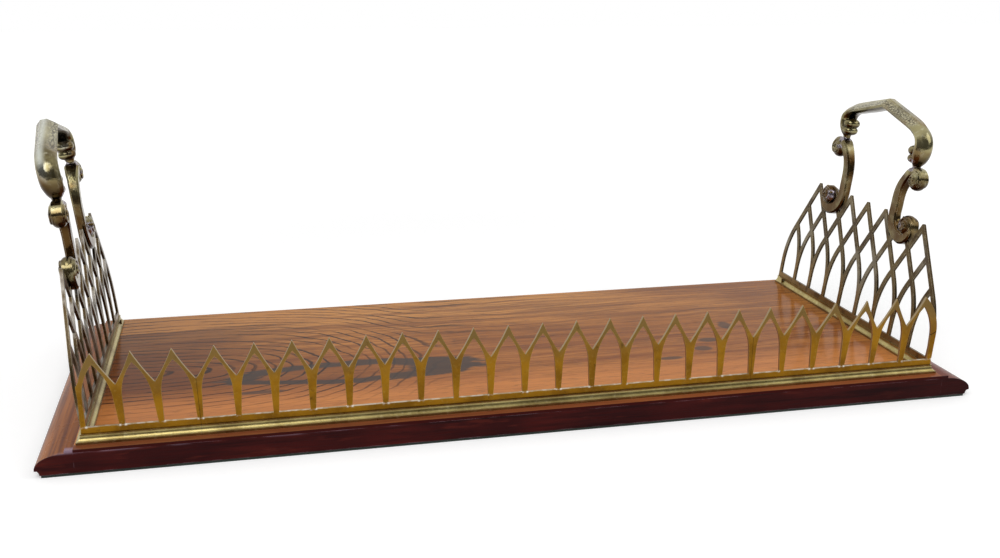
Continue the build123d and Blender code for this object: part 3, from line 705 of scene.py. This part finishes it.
def handle_brass():
    """Cast brass, dark in the recesses, with painted shade underneath, arrises pale from wear and a painted
    highlight, grey solder and an engraved bevel painted pale as a reflection.
    """
    colours = (srgb(238, 236, 214), srgb(160, 152, 112), srgb(88, 76, 48), srgb(26, 14, 6))
    s = brass("handle_brass", colours, 0.09, 40.0, 0.009)
    along = s.math("ABSOLUTE", s.less(s.y, end_foot[1] * millimetre))
    level = s.less(s.z, end_foot[2] * millimetre)
    s.paint(s.times(s.band(s.noise(s.place, 60.0, 3.0), 0.50, 0.66), 0.5), srgb(116, 76, 24))
    # Darker brown below the necks and along the grips' lower shoulders, in noisy patches
    darker_lower = s.larger(s.band(level, *darker_below), s.times(s.near(level, *darker_shoulder), 0.75))
    s.paint(s.times(darker_lower, s.band(s.noise(s.place, 50.0, 3.0), 0.30, 0.60)), srgb(80, 58, 30))
    across = s.plus(s.x, s.times(level, highlight_lean))
    highlight = s.times(s.near(across, highlight_middle, highlight_reach), s.band(level, *highlight_above))
    s.paint(s.times(highlight, 0.7), srgb(220, 224, 216))
    # Painted shade on the undersides, which face down
    normal = s.split(s.node("ShaderNodeNewGeometry").outputs["Normal"])
    s.paint(s.times(s.band(normal[2], 0.05, -0.55), 0.85), srgb(44, 26, 12))
    soldered = solder(s, along, level)
    s.paint(s.times(soldered, 0.65), srgb(168, 162, 176))
    # The engraved bevel painted pale as a reflection, with dark cuts
    facet = engraved_facet(s, along, level)
    s.paint(s.times(facet, 0.55), srgb(206, 200, 172))
    leaf = s.node("ShaderNodeTexVoronoi", {"Vector": s.place, "Scale": 560.0}, feature="DISTANCE_TO_EDGE")
    cut = s.times(s.band(leaf.outputs["Distance"], 0.18, 0.05), facet)
    s.paint(s.times(cut, 0.80), srgb(52, 42, 26))
    # Arrises pale from wear and a painted highlight
    s.paint(s.times(s.worn_highlight(), 0.65), srgb(226, 220, 190))
    height = s.plus(s.noise(s.place, 500.0, 3.0), s.times(cut, -2.0))
    s.bump(s.plus(height, s.times(soldered, 1.5)), 0.00012)
    return s.material


def around(centre, radius, angle):
    """A point on a circle."""
    turn = math.radians(angle)
    return centre[0] + radius * math.cos(turn), centre[1] + radius * math.sin(turn)


def rounded(share):
    """How far a dome's outline reaches at a share of its depth: 1 in the middle and 0 at its end."""
    return (1 - abs(share) ** dome_power) ** (1 / dome_power)


def smooth(points, steps):
    """A smooth curve through points of any count of values."""
    guides = [points[0]] + list(points) + [points[-1]]
    curve = []
    for start in range(len(points) - 1):
        for step in range(steps):
            t = step / steps
            values = []
            for a, b, c, d in zip(*guides[start : start + 4]):
                square = 2 * a - 5 * b + 4 * c - d
                cube = 3 * b - a - 3 * c + d
                values.append(0.5 * (2 * b + (c - a) * t + square * t**2 + cube * t**3))
            curve.append(tuple(values))
    return curve + [tuple(points[-1])]


class Form:
    """The points and faces of one piece, gathered from closed skins."""

    def __init__(self, side):
        self.side = side
        self.points = []
        self.faces = []

    def point(self, along, up, out):
        """The place, in metres, of millimetres along an end sheet, up it and out from its middle."""
        lean = math.radians(leans[self.side] + twists[self.side] * along / peak_along)
        tip = lean + math.radians(grip_tips[self.side]) * clamped((up - grip_tip_up) / grip_tip_blend)
        low = min(up, grip_tip_up)
        high = up - low
        foot_x, foot_y, foot_z = end_foot
        place = (
            sides[self.side] * (foot_x + low * math.sin(lean) + high * math.sin(tip) + out * math.cos(tip)),
            foot_y + along,
            foot_z + low * math.cos(lean) + high * math.cos(tip) - out * math.sin(tip),
        )
        return Vector(place) * millimetre

    def skin(self, rings):
        """Adds a closed skin over rings of along, up and out, which all have the same count."""
        first = len(self.points)
        count = len(rings[0])
        for ring in rings:
            self.points += [self.point(*place) for place in ring]
        for level in range(len(rings) - 1):
            low = first + level * count
            for step in range(count):
                after = (step + 1) % count
                self.faces.append((low + step, low + after, low + count + after, low + count + step))
        last = first + (len(rings) - 1) * count
        self.faces.append(tuple(range(first, first + count)))
        self.faces.append(tuple(range(last, last + count)))

    def dome(self, middle, reach, half_depth):
        """Adds a rounded button whose faces look out and in."""
        rings = []
        for level in range(dome_levels + 1):
            share = math.sin(math.radians(dome_tilt * (2 * level / dome_levels - 1)))
            ring = []
            for step in range(dome_points):
                turn = 2 * math.pi * step / dome_points
                along = middle[0] + reach[0] * rounded(share) * math.cos(turn)
                up = middle[1] + reach[1] * rounded(share) * math.sin(turn)
                ring.append((along, up, share * half_depth))
            rings.append(ring)
        self.skin(rings)

    def finish(self, node):
        """Makes the piece, in cast brass, that stands for a CAD node."""
        mesh = bpy.data.meshes.new(node)
        mesh.from_pydata(self.points, [], self.faces)
        work = bmesh.new()
        work.from_mesh(mesh)
        bmesh.ops.recalc_face_normals(work, faces=work.faces)
        work.to_mesh(mesh)
        work.free()
        for polygon in mesh.polygons:
            polygon.use_smooth = True
        mesh.set_sharp_from_angle(angle=math.radians(sharp_angle))
        mesh.materials.append(materials["handle_brass"])
        piece = bpy.data.objects.new(f"{node}_cast", mesh)
        bpy.context.scene.collection.objects.link(piece)
        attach(piece, "root")
        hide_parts(node)


def scroll_line():
    """The middle line of a scroll, which starts inside its upper boss and ends inside its lower one."""
    line = []
    for angle, radius, half in upper_turns:
        line.append((*around(upper_volute, radius, angle), half, volute_depth))
    for step in range(bow_places):
        share = step / (bow_places - 1)
        place = around(bow_centre, bow_radius, bow_angles[0] + (bow_angles[1] - bow_angles[0]) * share)
        half = bow_half + (upright_half - bow_half) * share
        depth = bow_depth + (upright_depth - bow_depth) * share**bow_flattening
        line.append((*place, half, depth))
    line.append((*upright_middle, upright_half, upright_depth))
    for angle in hook_angles:
        depth = upright_depth + hook_deepening * (angle - hook_angles[0])
        line.append((*around(hook_centre, hook_radius, angle), upright_half, depth))
    return smooth(line + list(lower_turns), scroll_steps)


def settled(end, level):
    """How far a point of a scroll has moved up, which grows towards the upper volute."""
    return volute_shifts[end] * clamped((level - lower_volute[1]) / (upper_volute[1] - lower_volute[1]))


def volute(form, end, middle, last_angle, turn):
    """Adds a round boss with a raised spiral on each face, which leaves its rim at the last angle."""
    centre = (peak_along + middle[0], peak_up + middle[1] + settled(end, middle[1]))
    form.dome((ends[end] * centre[0], centre[1]), (volute_radius, volute_radius), volute_half_depth)
    for face in (-1, 1):
        rings = []
        for step in range(spiral_steps + 1):
            share = step / spiral_steps
            radius = spiral_inner + (spiral_outer - spiral_inner) * share
            thickness = spiral_thin + (spiral_thick - spiral_thin) * share
            rise = volute_half_depth * rounded(radius / volute_radius)
            ring = []
            for corner in range(spiral_corners):
                swing = 2 * math.pi * corner / spiral_corners
                reach = radius + thickness * math.cos(swing)
                along, up = around(centre, reach, last_angle - turn * (1 - share))
                ring.append((ends[end] * along, up, face * (rise + thickness * math.sin(swing))))
            rings.append(ring)
        form.skin(rings)


def scroll(side, end):
    """A cast scroll: a bevelled band that runs into a volute at each end."""
    form = Form(side)
    line = [(u, v + settled(end, v), half, depth) for u, v, half, depth in scroll_line()]
    rings = []
    for step, (u, v, half, depth) in enumerate(line):
        before = line[max(step - 1, 0)]
        after = line[min(step + 1, len(line) - 1)]
        ahead = Vector((after[0] - before[0], after[1] - before[1])).normalized()
        cut = chamfer_share * min(half, depth)
        ring = []
        for across, out in (
            (half - cut, -depth), (half, cut - depth), (half, depth - cut), (half - cut, depth),
            (cut - half, depth), (-half, depth - cut), (-half, cut - depth), (cut - half, -depth),
        ):
            along = peak_along + u - ahead.y * across
            ring.append((ends[end] * along, peak_up + v + ahead.x * across, out))
        rings.append(ring)
    form.skin(rings)
    volute(form, end, upper_volute, upper_turns[-1][0], spiral_turn)
    volute(form, end, lower_volute, lower_exit_angle, -spiral_turn)
    form.finish(f"{side}_{end}_scroll")


def section_points(roundness):
    """The grip's section, from bevelled at 0 to round at 1, with two points for each side."""
    points = []
    for number in range(2 * len(grip_section)):
        first = grip_section[number // 2]
        second = grip_section[(number + 1) // 2 % len(grip_section)]
        out = (first[0] + second[0]) / 2
        share = (first[1] + second[1]) / 2
        turn = math.atan2(1 - 2 * share, out / grip_half_depth)
        out += (grip_half_depth * math.cos(turn) - out) * roundness
        share += (0.5 - 0.5 * math.sin(turn) - share) * roundness
        points.append((out, share))
    return points


def grip(side):
    """A cast grip: a bevelled bar with a low gable, rounded shoulders and a bud inside each."""
    form = Form(side)
    halves = {}
    for end, table in grip_stations.items():
        halves[end] = smooth([(*outer, *inner, depth) for outer, inner, depth in table], grip_steps)
    stations = [(-1, values) for values in reversed(halves["front"])]
    stations += [(1, values) for values in halves["back"][1:]]
    rings = []
    for way, (outer_along, outer_up, inner_along, inner_up, depth) in stations:
        ring = []
        roundness = clamped((outer_along - bevelled_until) / (round_from - bevelled_until))
        for out, share in section_points(roundness):
            along = outer_along + (inner_along - outer_along) * share
            up = outer_up + (inner_up - outer_up) * share
            ring.append((way * along, up, out * depth))
        rings.append(ring)
    form.skin(rings)
    for end, way in ends.items():
        neck = grip_stations[end][-1][0][1]
        for middle, reach, depth in bud_lobes:
            form.dome((way * middle[0], neck + middle[1]), reach, depth)
    form.finish(f"{side}_grip")


def floor():
    """A plain pale floor, white to the camera and in reflections where no shadow falls."""
    mesh = bpy.data.meshes.new("floor")
    corners = [(x * floor_reach, y * floor_reach, 0.0) for x, y in ((-1, -1), (1, -1), (1, 1), (-1, 1))]
    mesh.from_pydata(corners, [], [(0, 1, 2, 3)])
    made = bpy.data.objects.new("floor", mesh)
    bpy.context.scene.collection.objects.link(made)
    s = Shader("floor")
    speckle = s.noise(s.place, 300.0, 2.0)
    pale = s.mix(s.times(speckle, 0.06), (0.86, 0.86, 0.86, 1.0), (0.8, 0.8, 0.8, 1.0))
    s.set(Base_Color=pale, Roughness=0.9, Specular_IOR_Level=0.0)
    far = s.band(s.math("SQRT", s.plus(s.times(s.x, s.x), s.times(s.y, s.y))), *floor_growth)
    glow = s.plus(near_floor_glow, s.times(far, far_floor_glow - near_floor_glow))
    s.set(Emission_Color=(1.0, 1.0, 1.0, 1.0), Emission_Strength=s.times(s.seen_rays(), glow))
    made.data.materials.append(s.material)


def sky():
    """Even light from all round, seen as white behind and above and as a dimmer room in front."""
    world = bpy.data.worlds.new("sky")
    world.use_nodes = True
    bpy.context.scene.world = world
    s = Nodes(world.node_tree)
    _, back, up = s.split(s.node("ShaderNodeTexCoord").outputs["Generated"])
    height = s.plus(s.times(up, sky_height_weight), back)
    room = s.band(height, 0.0, sky_full_at, dark_side_strength, 1.0)
    seen = s.larger(room, s.node("ShaderNodeLightPath").outputs["Is Camera Ray"])
    strength = s.node("ShaderNodeMix", {0: s.seen_rays(), 2: sky_strength, 3: seen}).outputs[0]
    background = s.tree.nodes["Background"]
    s.feed(background.inputs["Color"], (1.0, 1.0, 1.0, 1.0))
    s.feed(background.inputs["Strength"], strength)


def area_light(name, place, size, power):
    """A soft square lamp that points at the tray."""
    lamp = bpy.data.lights.new(name, "AREA")
    lamp.size = size
    lamp.energy = power
    made = bpy.data.objects.new(name, lamp)
    made.location = place
    made.rotation_euler = (Vector(lamp_target) - Vector(place)).to_track_quat("-Z", "Y").to_euler()
    bpy.context.scene.collection.objects.link(made)


def camera():
    """The photograph's camera, which looks along the yaw and down by the pitch."""
    data = bpy.data.cameras.new("camera")
    data.sensor_width = sensor_width
    data.lens = focal_pixels * sensor_width / image_width
    ahead = Vector((
        math.sin(camera_yaw) * math.cos(camera_pitch),
        math.cos(camera_yaw) * math.cos(camera_pitch),
        -math.sin(camera_pitch),
    ))
    level = Vector((math.cos(camera_yaw), -math.sin(camera_yaw), 0.0))
    down = ahead.cross(level)
    right = level * math.cos(camera_roll) + down * math.sin(camera_roll)
    down = down * math.cos(camera_roll) - level * math.sin(camera_roll)
    turned = Matrix((right, -down, -ahead)).transposed()
    made = bpy.data.objects.new("camera", data)
    made.matrix_world = Matrix.Translation(camera_place) @ turned.to_4x4()
    bpy.context.scene.collection.objects.link(made)
    bpy.context.scene.camera = made


materials = {
    "core_wood": core_wood(),
    "rosewood_top": rosewood_top(),
    "rosewood_edge": rosewood_edge(),
    "baize": baize(),
    "gallery_brass": gallery_brass(),
    "bead_brass": bead_brass(),
    "lattice_brass": lattice_brass(),
    "handle_brass": handle_brass(),
    "pin_brass": pin_brass(),
}
for subpart in frame["record"]["subparts"]:
    for slot in frame["nodes"][subpart["node"]].material_slots:
        slot.material = materials[subpart["material_slot"]]

for side_name in sides:
    grip(side_name)
    for end_name in ends:
        scroll(side_name, end_name)

floor()
sky()
area_light("key", key_place, key_size, key_power)
area_light("fill", fill_place, fill_size, fill_power)
camera()
bpy.context.scene.view_settings.view_transform = "Standard"
